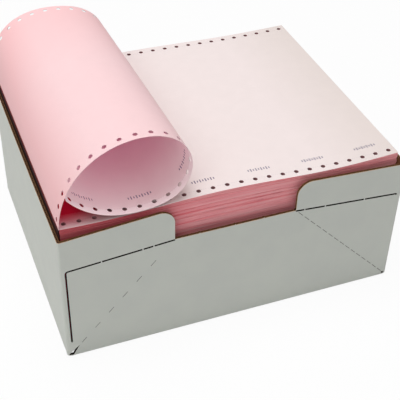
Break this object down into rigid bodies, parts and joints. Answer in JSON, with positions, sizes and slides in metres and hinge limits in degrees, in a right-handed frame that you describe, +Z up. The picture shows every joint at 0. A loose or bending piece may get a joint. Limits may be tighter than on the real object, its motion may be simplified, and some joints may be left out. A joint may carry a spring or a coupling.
{
  "type": "fanfold continuous form paper in its feed carton",
  "caption": "Fanfold stack of sprocket-holed continuous forms in an open die-cut carton, its top form curled over into a roll.",
  "frame": {"origin": "centre of the carton's underside", "axes": "+X along the forms from the curled left fold to the right fold, +Y from the feed window to the back wall, +Z up"},
  "size_m": [0.3152, 0.2532, 0.2135],
  "materials": {
    "form_paper": "matte, pink backs and white faces",
    "corrugated_board": "matte grey-white outside, brown inside"
  },
  "bodies": {
    "root": {"continuous_forms": "form_paper", "carton": "corrugated_board"}
  },
  "joints": []
}
